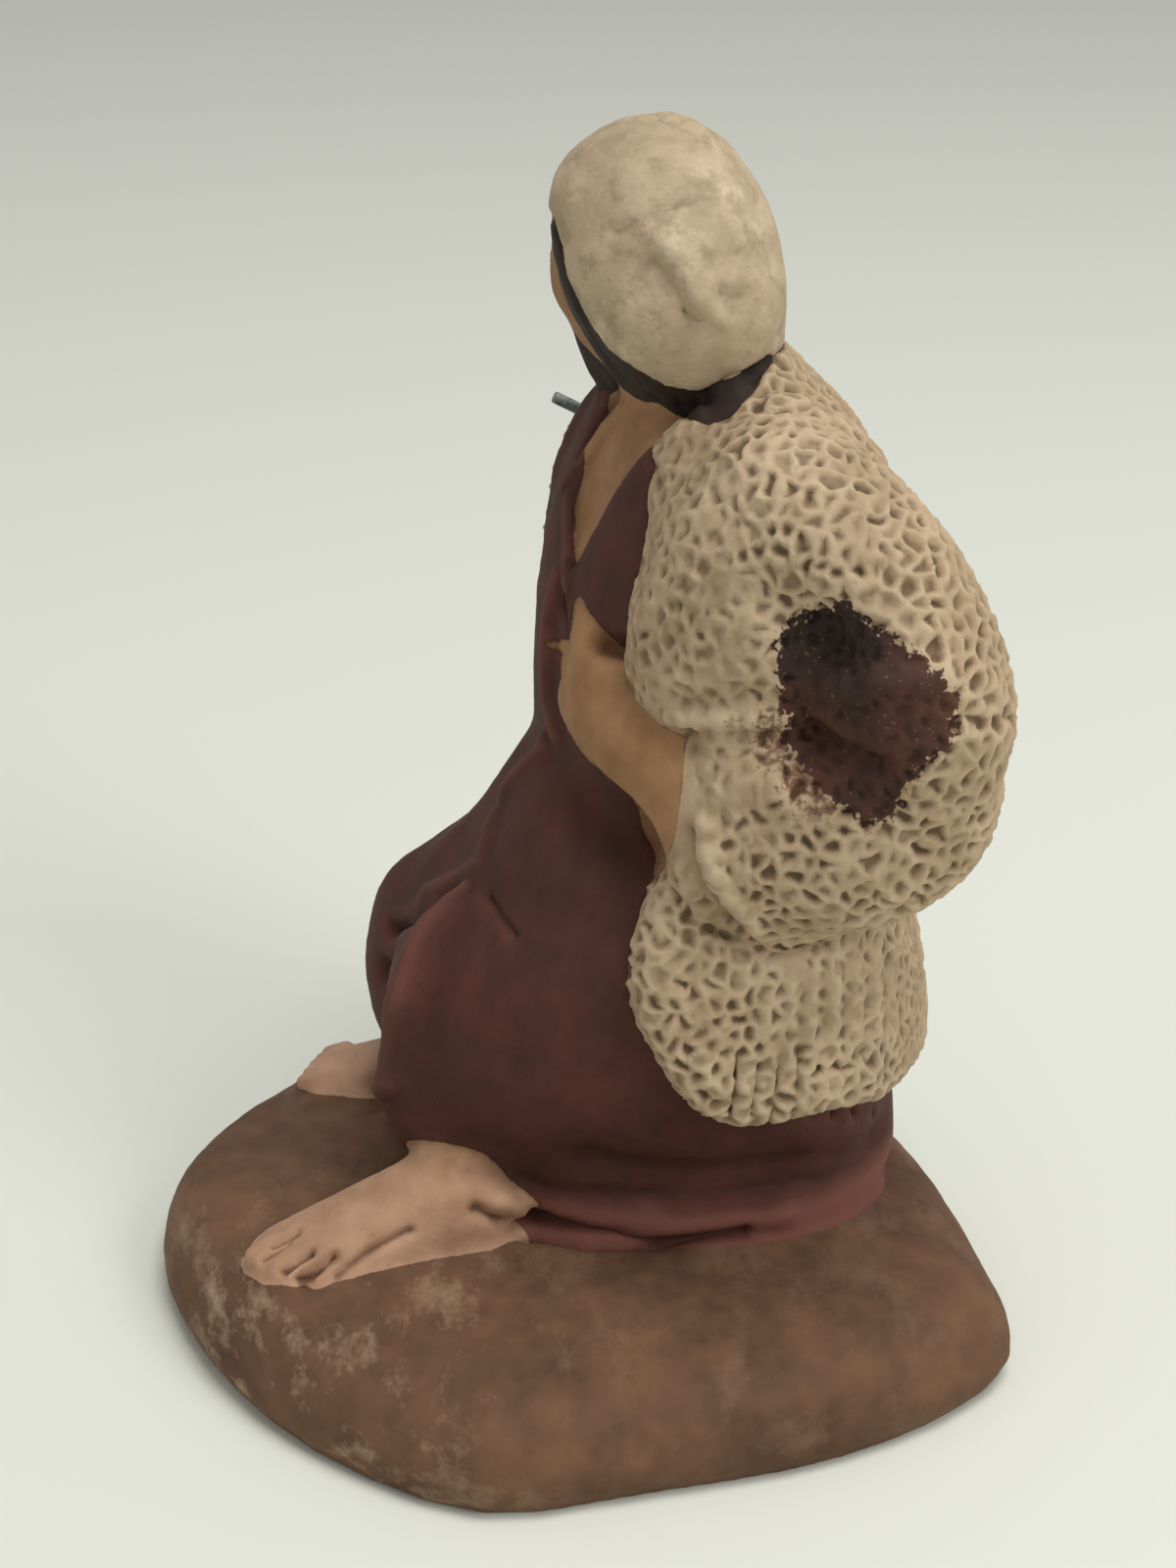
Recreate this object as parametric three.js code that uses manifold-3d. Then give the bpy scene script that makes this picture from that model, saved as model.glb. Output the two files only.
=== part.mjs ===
// A small painted clay shepherd from a nativity scene, seated with one hand on the hip.
// Millimetres, +Z up. The figure faces -Y and its left side is +X.
// Heights count from the underside of the base. X and Y count from a point in front of the seat,
// and the last lines move the origin to the middle of the underside.

import * as THREE from 'three';
import { mergeVertices } from 'three/addons/utils/BufferGeometryUtils.js';
import Module from 'manifold-3d';

const wasm = await Module();
wasm.setup();

const degree = Math.PI / 180;
const upward = new THREE.Vector3(0, 0, 1);
const backward = new THREE.Vector3(0, 1, 0);

// The ground: an irregular rounded slab. Outline points are where its edge turns.
const ground = {
  middle: [-2.4, -1],
  height: 8.4,
  outline: [
    [27.7, -6.4], [25.5, 5.7], [22.3, 18.1], [17.4, 27.4], [11.5, 33], [3, 32], [-8, 29.6], [-18, 24.5],
    [-25.5, 14], [-28, -2], [-26.5, -15], [-20.5, -26.5], [-9, -32.8], [1.5, -32.4], [12, -27.4],
    [21.8, -18.2],
  ],
  // share of the outline, share of the height: from the underside out and over the top
  profile: [
    [0, 0], [0.965, 0], [1, 0.24], [0.985, 0.52], [0.945, 0.76], [0.87, 0.91], [0.7, 0.99], [0.4, 1], [0, 1],
  ],
  around: 44,
};

// The tunic below the waist. Each row: height, then how far it reaches near (+X), far (-X), front and rear.
const skirt = {
  reach: [
    [8, 4.8, -27.5, -11.5, 24.6],
    [11.5, 3.4, -27.3, -15, 24.4],
    [15, 4, -28, -16.2, 24],
    [21, 5.8, -29, -16.6, 23.4],
    [27, 5.8, -29, -15.6, 22.6],
    [31, 5.2, -28, -12.8, 21.8],
    [35, 4.2, -26.5, -8.8, 20.8],
    [39, 2.2, -25, -6.2, 18.5],
    [43, 0, -24, -4, 15],
    [46, -3.5, -20, -0.5, 12],
  ],
  squareness: 2.6,
  around: 50,
  rows: 18,
  groundHem: 7,
  frontHem: 14.2,
  // from, to, width, lift
  folds: [
    [[-19.5, -17, 27], [-19.5, -18, 17], 4.5, 2.7],
    [[-9.5, -16, 25], [-8, -15, 16], 2.6, -2.6],
    [[-4.2, -9, 34.6], [-1.4, -14, 27], 1.7, 1.1],
    [[-1.4, -14, 27], [-0.8, -15.2, 16], 2, 0.9],
    [[-1, -14, 17], [-0.4, -14, 14], 3, 1.3],
    [[-12, -15.5, 30.5], [-4.8, -9.6, 35.6], 1.5, -1.5],
    [[-3, -6.5, 35.5], [0.6, -7, 31], 1.4, -0.8],
    [[-14, -5.5, 40], [-16, -11, 33], 1.8, 0.7],
    [[2, -4, 13.5], [4, 14, 13.5], 2.6, -0.8],
  ],
};

// The trunk. Each row: height, middle x, middle y, half width, half depth, turn to the left in degrees.
const trunk = {
  rows: [
    [36, -11.5, 6, 13.5, 9.6, 6],
    [44, -12, 4.9, 12.4, 8.5, 12],
    [50, -12, 5.5, 13, 8.8, 16],
    [56, -12, 6.6, 13.5, 9, 20],
    [62, -12, 7.8, 13.6, 9, 20],
    [66, -11.8, 8.4, 12.4, 8.3, 20],
    [69.5, -11.5, 8.4, 9.6, 6.8, 20],
    [72.4, -11.3, 8.4, 6, 4.6, 20],
  ],
  squareness: 2.3,
  turn: 20,
  tunicThickness: 0.7,
  coatThickness: 1.1,
  coatHem: 43,
  coatFolds: [
    [[-16, 17, 67], [-3, 17, 67], 5, 1.6],
    [[-14, 17, 60], [-10, 15, 44], 3, -0.8],
  ],
  // both as seen from the chest's front, [to the left, height]
  neckline: [[-3.6, 78], [7.2, 78], [6.8, 70], [3.4, 63.5], [0.4, 57.6], [-2.5, 62], [-3.3, 68]],
  coatOpening: [
    [-13, 30], [11, 30], [11.4, 55], [10.8, 62], [7.8, 69.5], [6.4, 78],
    [-6.2, 78], [-8, 69], [-11.6, 60], [-12.8, 50],
  ],
};

// The coat's tail: its outline seen from the left, [y, z], and how thick it lies on the tunic.
const tail = {
  thickness: 2.9,
  outline: [
    [8, 46], [6, 41.5], [4.5, 36.5], [3.6, 33], [4.2, 29], [6, 25.4], [8, 22.6], [11, 21.2], [18, 21.2],
    [23, 20], [30, 20.6], [40, 24], [40, 46],
  ],
};

const head = {
  middle: [-11.5, 5.5, 79.9],
  lean: 19,
  facing: 50,
  nod: 0,
  cap: [8.4, 7.6, 9.8],
  hair: [8, 7.3, 9],
  faceOpening: [5.6, 5, 6.6],
  // In the face's own directions: x to its left, -y forward, z up
  skull: [6.4, 8, 8.6],
  features: [
    [[-3, -7.4, 2.4], [3, -7.4, 2.4], 1.1, 0.5],
    [[-2.5, -7.3, 0.9], [-2.5, -7.3, 0.9], 1.1, -0.6],
    [[2.5, -7.3, 0.9], [2.5, -7.3, 0.9], 1.1, -0.6],
    [[0, -8, 1.8], [0, -8.6, -1.2], 0.9, 1.1],
    [[0, -8.8, -1.4], [0, -8.8, -1.4], 1, 0.7],
    [[-4.2, -5.8, 0.2], [-4.2, -5.8, 0.2], 1.8, 0.8],
    [[4.2, -5.8, 0.2], [4.2, -5.8, 0.2], 1.8, 0.8],
  ],
  beard: { middle: [0, -3.9, -4.4], halves: [4.9, 4.7, 5.2] },
  capFolds: [
    [[-4.6, 1.6, 83], [-4.8, 6.3, 85.4], 0.9, -0.5],
    [[-4.4, 4, 83.6], [-3, 6.2, 79.4], 1.1, 0.6],
    [[-3.1, 4.6, 80.2], [-3.1, 5, 79.4], 1.5, -0.8],
    [[-3.4, 7.4, 78.8], [-4.2, 10, 79.8], 1.2, 0.8],
    [[-4, 9, 82.4], [-7, 12, 83.4], 1.4, 0.5],
    [[-9, 6, 89], [-13, 9.6, 87.4], 1.3, 0.5],
    [[-10, -2.5, 85.5], [-15, -2.5, 85.5], 3.2, 0.8],
  ],
};

const stick = {
  tip: [-28, -2.7, 65.2],
  foot: [-27.8, 5.2, 61.3],
  radius: 0.48,
  gap: 0.3,
};

function solidOf(geometry) {
  const bare = geometry.clone();
  bare.deleteAttribute('normal');
  bare.deleteAttribute('uv');
  const merged = mergeVertices(bare, 1e-4);
  return new wasm.Manifold(new wasm.Mesh({
    numProp: 3,
    vertProperties: new Float32Array(merged.attributes.position.array),
    triVerts: new Uint32Array(merged.index.array),
  }));
}

function meshOf(name, solid, color, roughness, metalness) {
  const { vertProperties, triVerts } = solid.getMesh();
  const geometry = new THREE.BufferGeometry();
  geometry.setAttribute('position', new THREE.BufferAttribute(vertProperties, 3));
  geometry.setIndex(new THREE.BufferAttribute(triVerts, 1));
  geometry.computeVertexNormals();
  const mesh = new THREE.Mesh(geometry, new THREE.MeshStandardMaterial({ color, roughness, metalness }));
  mesh.name = name;
  return mesh;
}

function join(geometries) {
  return geometries.map(solidOf).reduce((sum, solid) => sum.add(solid));
}

// A closed skin: place(turn, along, end) gives each point, with turn the angle about the skin's axis and
// along going from 0 at its low end to 1 at its high end. end is 0 on the axis at both ends, else 1.
function skin(around, rows, place) {
  const geometry = new THREE.SphereGeometry(1, around, rows);
  const points = geometry.attributes.position;
  const spot = new THREE.Vector3();
  for (let i = 0; i < points.count; i += 1) {
    spot.fromBufferAttribute(points, i);
    const along = 1 - Math.acos(THREE.MathUtils.clamp(spot.y, -1, 1)) / Math.PI;
    const turn = Math.atan2(-spot.z, spot.x);
    const end = Math.abs(spot.y) > 0.99999 ? 0 : 1;
    const placed = place(turn, along, end);
    points.setXYZ(i, placed.x, placed.y, placed.z);
  }
  geometry.deleteAttribute('normal');
  geometry.deleteAttribute('uv');
  return mergeVertices(geometry, 1e-4);
}

// A smooth value between the rows of a table whose first column rises.
function between(rows, at, column) {
  const last = rows.length - 1;
  let low = 0;
  while (low < last - 1 && rows[low + 1][0] < at) low += 1;
  const share = THREE.MathUtils.clamp((at - rows[low][0]) / (rows[low + 1][0] - rows[low][0]), 0, 1);
  const before = rows[Math.max(low - 1, 0)][column];
  const after = rows[Math.min(low + 2, last)][column];
  const from = rows[low][column];
  const to = rows[low + 1][column];
  const leaving = (to - before) / 2;
  const arriving = (after - from) / 2;
  const square = share * share;
  const cube = square * share;
  return (2 * cube - 3 * square + 1) * from + (cube - 2 * square + share) * leaving
    + (-2 * cube + 3 * square) * to + (cube - square) * arriving;
}

// A point of an oval whose corners fill out as the squareness rises above 2.
function oval(turn, halfWide, halfDeep, squareness) {
  const power = 2 / squareness;
  const across = Math.cos(turn);
  const along = Math.sin(turn);
  return new THREE.Vector2(
    halfWide * Math.sign(across) * Math.abs(across) ** power,
    halfDeep * Math.sign(along) * Math.abs(along) ** power,
  );
}

// Raises (or with a minus sign sinks) a skin along the line from one point to another.
function fold(geometry, from, to, width, lift) {
  geometry.computeVertexNormals();
  const points = geometry.attributes.position;
  const normals = geometry.attributes.normal;
  const line = new THREE.Line3(new THREE.Vector3(...from), new THREE.Vector3(...to));
  const spot = new THREE.Vector3();
  const nearest = new THREE.Vector3();
  const outward = new THREE.Vector3();
  for (let i = 0; i < points.count; i += 1) {
    spot.fromBufferAttribute(points, i);
    line.closestPointToPoint(spot, true, nearest);
    const share = Math.exp(-((spot.distanceTo(nearest) / width) ** 2));
    outward.fromBufferAttribute(normals, i);
    spot.addScaledVector(outward, lift * share);
    points.setXYZ(i, spot.x, spot.y, spot.z);
  }
  return geometry;
}

function folded(geometry, folds) {
  for (const [from, to, width, lift] of folds) fold(geometry, from, to, width, lift);
  return geometry;
}

// A limb: a skin along a curve. Each station: point, half size across, half size along the given direction.
function limb(stations, upDirection, around, rows) {
  const spots = stations.map(([at]) => new THREE.Vector3(...at));
  const path = new THREE.CatmullRomCurve3(spots, false, 'centripetal');
  const sizes = stations.map(([, wide, tall], i) => [i / (stations.length - 1), wide, tall]);
  return skin(around, rows, (turn, along, end) => {
    const tangent = path.getTangent(along);
    const side = new THREE.Vector3().crossVectors(upDirection, tangent).normalize();
    const up = new THREE.Vector3().crossVectors(tangent, side).normalize();
    const ring = oval(turn, between(sizes, along, 1) * end, between(sizes, along, 2) * end, 2);
    return path.getPoint(along).addScaledVector(side, ring.x).addScaledVector(up, ring.y);
  });
}

// An egg with its half sizes along its own x, y and z, turned by a matrix and moved.
function egg(middle, halves, matrix, around, rows) {
  return skin(around, rows, (turn, along, end) => {
    const girth = Math.sin(Math.PI * along) * end;
    return new THREE.Vector3(girth * Math.cos(turn), girth * Math.sin(turn), -Math.cos(Math.PI * along))
      .multiply(new THREE.Vector3(...halves))
      .applyMatrix4(matrix)
      .add(new THREE.Vector3(...middle));
  });
}

function turned(x, y, z) {
  const angles = new THREE.Euler(x * degree, y * degree, z * degree, 'ZYX');
  return new THREE.Matrix4().makeRotationFromEuler(angles);
}

function makeGround() {
  const turns = ground.outline.map(([x, y]) => new THREE.Vector3(x, y, 0));
  const curve = new THREE.CatmullRomCurve3(turns, true);
  const profile = ground.profile.map(([out, up]) => new THREE.Vector2(out, up));
  const geometry = new THREE.LatheGeometry(profile, ground.around);
  const points = geometry.attributes.position;
  for (let i = 0; i < points.count; i += 1) {
    const out = Math.hypot(points.getX(i), points.getZ(i));
    const share = 1 - Math.atan2(points.getZ(i), points.getX(i)) / (2 * Math.PI);
    const edge = curve.getPoint(share % 1);
    const height = points.getY(i) * ground.height;
    points.setXYZ(i, ground.middle[0] + edge.x * out, ground.middle[1] + edge.y * out, height);
  }
  return geometry;
}

// How far the lower tunic reaches at a height, grown by a thickness.
function skirtPoint(turn, height, grow) {
  const [near, far, front, rear] = [1, 2, 3, 4].map((column) => between(skirt.reach, height, column));
  const ring = oval(turn, (near - far) / 2 + grow, (rear - front) / 2 + grow, skirt.squareness);
  return new THREE.Vector3((near + far) / 2 + ring.x, (front + rear) / 2 + ring.y, height);
}

function makeSkirt() {
  const top = skirt.reach.at(-1)[0];
  const geometry = skin(skirt.around, skirt.rows, (turn, along, end) => {
    const front = Math.max(0, -Math.sin(turn)) ** 2;
    const hem = skirt.groundHem + (skirt.frontHem - skirt.groundHem) * front;
    const spot = skirtPoint(turn, hem + (top - hem) * along, 0);
    if (end === 0) spot.set(-12, 5, along < 0.5 ? ground.height : top);
    return spot;
  });
  return folded(geometry, skirt.folds);
}

// The coat's tail is the lower tunic's own form grown by the coat's thickness, inside the tail's outline.
function makeTail() {
  const [low, high] = [18, 46];
  const grown = skin(44, 12, (turn, along, end) => {
    const spot = skirtPoint(turn, low + (high - low) * along, tail.thickness);
    if (end === 0) spot.set(-12, 5, spot.z);
    return spot;
  });
  const outline = new THREE.Shape(tail.outline.map(([y, z]) => new THREE.Vector2(y, z)));
  const slab = new THREE.ExtrudeGeometry(outline, { depth: 60, bevelEnabled: false, steps: 1 });
  slab.applyMatrix4(new THREE.Matrix4().makeBasis(backward, upward, new THREE.Vector3(1, 0, 0)));
  slab.translate(-42, 0, 0);
  return solidOf(grown).intersect(solidOf(slab));
}

function trunkPoint(turn, height, grow) {
  const [x, y, wide, deep, turnedBy] = [1, 2, 3, 4, 5].map((column) => between(trunk.rows, height, column));
  const ring = oval(turn, wide + grow, deep + grow, trunk.squareness)
    .rotateAround(new THREE.Vector2(), turnedBy * degree);
  return new THREE.Vector3(x + ring.x, y + ring.y, height);
}

function makeTrunk(grow, low, around, rows) {
  const high = trunk.rows.at(-1)[0] + grow;
  return skin(around, rows, (turn, along, end) => {
    const spot = trunkPoint(turn, low + (high - low) * along, grow);
    if (end === 0) spot.set(-11.5, 6.5, spot.z);
    return spot;
  });
}

// A flat outline in the chest's own plane, [across, z], made a wedge that runs forward from the spine.
function chestWedge(outline) {
  const shape = new THREE.Shape(outline.map(([across, z]) => new THREE.Vector2(across, z)));
  const wedge = new THREE.ExtrudeGeometry(shape, { depth: 40, bevelEnabled: false });
  wedge.rotateX(Math.PI / 2);
  wedge.rotateZ(trunk.turn * degree);
  wedge.translate(-12, 7.8, 0);
  return solidOf(wedge);
}

function makeCoatBody() {
  const body = folded(makeTrunk(trunk.coatThickness, trunk.coatHem, 32, 11), trunk.coatFolds);
  return solidOf(body).subtract(chestWedge(trunk.coatOpening));
}

// The body inside the tunic shows only in the neckline, so it is the trunk shrunk by the tunic's thickness.
function makeTunicBody() {
  const body = makeTrunk(0, trunk.rows[0][0], 32, 12);
  return solidOf(body).subtract(chestWedge(trunk.neckline));
}

const collar = () => limb([
  [[-3.6, 5.5, 68.6], 1.4, 1.2],
  [[-3.8, 9.4, 70.2], 2.6, 2],
  [[-8, 12.2, 71.6], 3, 2.2],
  [[-14.5, 11.8, 71.4], 3, 2.2],
  [[-18.6, 8, 70], 2.4, 1.8],
  [[-19.2, 4.6, 68.8], 1.4, 1.2],
], upward, 10, 14);

function makeHead() {
  const lean = turned(head.lean, 0, 0);
  const face = lean.clone().multiply(turned(0, 0, -head.facing)).multiply(turned(head.nod, 0, 0));
  const centre = new THREE.Vector3(...head.middle);
  const inFace = (x, y, z) => new THREE.Vector3(x, y, z).applyMatrix4(face).add(centre);
  const cap = folded(egg(head.middle, head.cap, lean, 36, 19), head.capFolds);
  const opening = egg(inFace(0, -7.4, -1.6).toArray(), head.faceOpening, face, 20, 12);
  const hair = egg(inFace(0, 0.2, -2).toArray(), head.hair, lean, 26, 12);
  const still = new THREE.Matrix4();
  const skull = folded(egg([0, 0, 0], head.skull, still, 32, 21), head.features);
  const beard = egg(head.beard.middle, head.beard.halves, still, 18, 11);
  const place = new THREE.Matrix4().setPosition(inFace(0, -1.9, -0.8)).multiply(face);
  skull.applyMatrix4(place);
  beard.applyMatrix4(place);
  return solidOf(cap).subtract(solidOf(opening)).add(join([skull, beard, hair]));
}

const neck = () => limb([
  [[-11.4, 7, 64], 5, 5],
  [[-11.3, 6.2, 70], 4, 3.9],
  [[-11.4, 6, 77], 4, 4],
], backward, 16, 6);

// The coat is pressed in where the near arm bends.
const elbowHollow = [[[9.6, 15.4, 60.4], [9.6, 16, 59.6], 2.6, -1.9]];

const leftUpperArm = () => folded(limb([
  [[-4, 9, 69], 2, 2],
  [[-0.5, 12, 67], 5.6, 5.6],
  [[4, 18, 61.4], 6.5, 6.8],
  [[5.8, 22.3, 52.8], 6.4, 6.6],
  [[5.6, 22.8, 46.2], 4.6, 4.6],
], backward, 20, 13), elbowHollow);

const leftSleeve = () => limb([
  [[4.8, 26.6, 52], 1.6, 2.4],
  [[5, 24.4, 49.6], 4.6, 5.8],
  [[4.8, 21, 46.9], 5.6, 8.3],
  [[4.4, 17, 44.9], 5.9, 8.9],
  [[3.8, 12.8, 44.4], 5.6, 9.1],
  [[3.2, 9.2, 44.7], 5.1, 8.4],
  [[2.5, 6.7, 44.7], 4.2, 4.8],
  [[2.3, 6.1, 44.7], 1.4, 1.6],
], upward, 20, 14);

const leftForearm = () => limb([
  [[3, 12, 45.2], 5.2, 7.6],
  [[2.6, 8.6, 46.2], 4.9, 6],
  [[1.9, 6.6, 47.4], 4.4, 4.4],
  [[1, 5, 48.2], 3.8, 4.1],
  [[-1.5, 1.8, 49.4], 3.2, 3.6],
  [[-4.5, -0.4, 50.4], 2.4, 3],
  [[-6.4, -1.2, 51.2], 1, 1.2],
], upward, 18, 12);

// The coat between the chest and the upper arm.
const armpit = () => folded(limb([
  [[-4.5, 8, 69.6], 2, 3],
  [[-1, 11, 66], 5.8, 6.8],
  [[0.6, 12.6, 61], 7.6, 9],
  [[0.8, 12.4, 55.6], 6.8, 9.5],
  [[0.2, 12.4, 50.4], 5.8, 8.4],
  [[-1.4, 12, 45], 2.6, 3],
], backward, 18, 10), elbowHollow);

const leftThumb = () => limb([
  [[-0.4, 3.4, 50.4], 2.8, 2.8],
  [[-2.4, 1.8, 52.4], 2.9, 2.6],
  [[-4.4, 0.2, 54.2], 2.2, 1.9],
  [[-5.8, -0.7, 56], 0.9, 0.9],
], upward, 12, 8);

const rightUpperArm = () => limb([
  [[-19, 9, 69], 2, 2],
  [[-22.5, 8.4, 66.5], 5.4, 5.4],
  [[-27, 9.2, 58], 5.2, 5.4],
  [[-28.4, 7.6, 50], 4.8, 5.2],
  [[-28.4, 5.6, 44.5], 3, 3],
], backward, 18, 11);

const rightForearm = () => limb([
  [[-28, 6.4, 42.5], 2.6, 2.6],
  [[-28, 3.9, 46.5], 4.6, 5],
  [[-28, 3.8, 53], 4, 4],
  [[-27.8, 3, 57], 3, 3.2],
  [[-27.6, 2.5, 60], 2.4, 2.6],
], backward, 16, 11);

const rightFist = () => egg([-27.8, 2.5, 60.9], [3.1, 4.6, 3], turned(32, 0, 0), 16, 11);
const rightFingers = () => egg([-27.6, -0.3, 59], [3, 2.8, 2.5], turned(20, 0, 0), 14, 9);

const leftFoot = () => limb([
  [[1.8, -5, 10], 2.4, 2],
  [[2.2, -9, 11.1], 3.7, 4.6],
  [[2.8, -13, 10.5], 3.9, 4.2],
  [[3.8, -17, 9.6], 4.3, 3.2],
  [[5.2, -21, 8.6], 4.4, 2.1],
  [[6, -24.2, 8.2], 3.4, 1.2],
  [[6.2, -26, 8], 1.4, 0.6],
], upward, 18, 14);

const leftShin = () => limb([
  [[1.4, -8.4, 10], 3, 3.4],
  [[-3, -8, 16], 2.4, 2.6],
], backward, 12, 4);

const rightFoot = () => limb([
  [[-18.6, -8, 10], 2.6, 2.2],
  [[-19.4, -14, 9.6], 3.6, 3.2],
  [[-20.2, -18.8, 8.8], 3.9, 2.3],
  [[-20.8, -22.4, 8.2], 3.6, 1.5],
  [[-21.1, -24.6, 8.1], 1.6, 0.7],
], upward, 16, 11);

function makeStick(grow) {
  const from = new THREE.Vector3(...stick.foot);
  const to = new THREE.Vector3(...stick.tip);
  const length = from.distanceTo(to);
  const radius = stick.radius + grow;
  const rod = new THREE.CylinderGeometry(radius, radius, length + 2 * grow, 12, 1);
  const along = to.clone().sub(from).normalize();
  rod.applyQuaternion(new THREE.Quaternion().setFromUnitVectors(backward, along));
  const middle = from.clone().add(to).multiplyScalar(0.5);
  rod.translate(middle.x, middle.y, middle.z);
  return solidOf(rod);
}

const figure = join([
  makeGround(),
  makeSkirt(),
  makeTrunk(-trunk.tunicThickness, 54, 24, 6),
  collar(),
  neck(),
  armpit(),
  leftUpperArm(),
  leftSleeve(),
  leftForearm(),
  leftThumb(),
  rightUpperArm(),
  rightForearm(),
  rightFist(),
  rightFingers(),
  leftFoot(),
  leftShin(),
  rightFoot(),
])
  .add(makeTunicBody())
  .add(makeCoatBody())
  .add(makeTail())
  .add(makeHead())
  .subtract(makeStick(stick.gap));

const shepherd = new THREE.Group();
shepherd.add(meshOf('figure', figure, 0x8a6a58, 0.85, 0));
shepherd.add(meshOf('stick', makeStick(0), 0x4e5552, 0.5, 0.6));

const box = new THREE.Box3().setFromObject(shepherd);
const middle = box.getCenter(new THREE.Vector3());
shepherd.position.set(-middle.x, -middle.y, -box.min.z);

export default shepherd;
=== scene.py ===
import bpy, bmesh, math
import numpy as np
from mathutils import Matrix, Vector
from mathutils.bvhtree import BVHTree
from mathutils.kdtree import KDTree


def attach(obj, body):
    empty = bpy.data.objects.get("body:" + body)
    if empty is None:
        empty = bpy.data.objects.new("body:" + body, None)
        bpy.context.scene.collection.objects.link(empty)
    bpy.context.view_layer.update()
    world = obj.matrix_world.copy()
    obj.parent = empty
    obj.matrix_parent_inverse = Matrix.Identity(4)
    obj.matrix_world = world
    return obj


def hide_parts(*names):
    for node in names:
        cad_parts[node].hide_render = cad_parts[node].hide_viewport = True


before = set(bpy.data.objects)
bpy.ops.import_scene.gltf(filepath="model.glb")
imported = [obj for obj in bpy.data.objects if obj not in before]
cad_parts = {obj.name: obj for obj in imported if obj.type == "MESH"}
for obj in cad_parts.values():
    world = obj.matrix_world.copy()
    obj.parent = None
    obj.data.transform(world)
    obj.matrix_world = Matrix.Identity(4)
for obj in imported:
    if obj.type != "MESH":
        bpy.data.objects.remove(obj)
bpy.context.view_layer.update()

# All of the figure's own measures are millimetres from the seat point, where the CAD counts from too.
# The figure faces -y and its left side is +x. The base's underside is z 0.
seatPoint = np.array((3.9545, 1.0355, 0.0))
millimetre = 0.001
draws = np.random.default_rng(20)


def inFrame(spot):
    return Vector((np.array(spot, float) + seatPoint) * millimetre)


# The camera stands at the figure's left, a little above it.
camera = dict(target=(0, 0, 45), distance=180, elevation=25, lens=58.12, filmHeight=36)


def makeCamera():
    rise = math.radians(camera["elevation"])
    back = Vector((math.cos(rise), 0, math.sin(rise)))
    data = bpy.data.cameras.new("camera")
    data.sensor_fit = "VERTICAL"
    data.sensor_height = camera["filmHeight"]
    data.sensor_width = camera["filmHeight"]
    data.lens = camera["lens"]
    data.clip_start, data.clip_end = 0.01, 10
    thing = bpy.data.objects.new("camera", data)
    bpy.context.scene.collection.objects.link(thing)
    thing.location = inFrame(np.array(camera["target"]) + np.array(back) * camera["distance"])
    thing.rotation_mode = "QUATERNION"
    thing.rotation_quaternion = (-back).to_track_quat("-Z", "Y")
    bpy.context.scene.camera = thing
    return thing


viewer = makeCamera()
eye = np.array(camera["target"]) + camera["distance"] * np.array(
    (math.cos(math.radians(camera["elevation"])), 0, math.sin(math.radians(camera["elevation"]))))
gazeAxes = np.array(Matrix(viewer.rotation_quaternion.to_matrix()).transposed())  # right, up and back as rows
photoSize = (1200, 1600)
photoFocal = photoSize[1] * camera["lens"] / camera["filmHeight"]


def toPhoto(spots):
    seen = (spots - eye) @ gazeAxes.T
    across = photoSize[0] / 2 - photoFocal * seen[:, 0] / seen[:, 2]
    down = photoSize[1] / 2 + photoFocal * seen[:, 1] / seen[:, 2]
    return np.stack([across, down], 1)


def onClay(tree, pixels):
    # where the photograph's sight lines meet the clay
    spots = []
    for across, down in pixels:
        look = np.array((across - photoSize[0] / 2, photoSize[1] / 2 - down, -photoFocal)) @ gazeAxes
        hit = tree.ray_cast(Vector(eye), Vector(look).normalized())[0]
        if hit is not None:
            spots.append(np.array(hit))
    return np.array(spots)


# Mesh and number helpers
carving = dict(firstCell=0.42, cell=0.25, firstRounds=26, rounds=5, faces=197000)


def meshOf(bm, name):
    mesh = bpy.data.meshes.new(name)
    bm.to_mesh(mesh)
    bm.free()
    return mesh


def clayOf(name, mesh):
    thing = bpy.data.objects.new(name, mesh)
    bpy.context.scene.collection.objects.link(thing)
    return thing


def finished(thing):
    # the mesh with its modifiers applied, and the modifiers gone
    bpy.context.view_layer.update()
    graph = bpy.context.evaluated_depsgraph_get()
    mesh = bpy.data.meshes.new_from_object(thing.evaluated_get(graph))
    thing.modifiers.clear()
    old = thing.data
    thing.data = mesh
    bpy.data.meshes.remove(old)
    return thing


def remeshed(thing, cell):
    step = thing.modifiers.new("remesh", "REMESH")
    step.mode = "VOXEL"
    step.voxel_size = cell * millimetre
    step.adaptivity = 0
    return finished(thing)


def spotsOf(mesh):
    flat = np.empty(len(mesh.vertices) * 3)
    mesh.vertices.foreach_get("co", flat)
    return flat.reshape(-1, 3) / millimetre - seatPoint


def setSpots(mesh, spots):
    mesh.vertices.foreach_set("co", ((spots + seatPoint) * millimetre).ravel())
    mesh.update()


def outwards(mesh):
    flat = np.empty(len(mesh.vertices) * 3)
    mesh.vertex_normals.foreach_get("vector", flat)
    return flat.reshape(-1, 3)


def edgesOf(mesh):
    flat = np.empty(len(mesh.edges) * 2, np.int32)
    mesh.edges.foreach_get("vertices", flat)
    return flat.reshape(-1, 2)


def relaxed(values, edges, rounds, share=0.5):
    # each round moves every value towards the mean of its neighbours
    values = values.reshape(len(values), -1).copy()
    ends = np.concatenate([edges, edges[:, ::-1]])
    count = np.bincount(ends[:, 0], minlength=len(values))[:, None]
    for _ in range(rounds):
        total = np.stack([np.bincount(ends[:, 0], column[ends[:, 1]], len(values)) for column in values.T], 1)
        values += (total / count - values) * share
    return values


def ramp(values, low, high):
    share = np.clip((values - low) / (high - low), 0, 1)
    return share * share * (3 - 2 * share)


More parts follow.
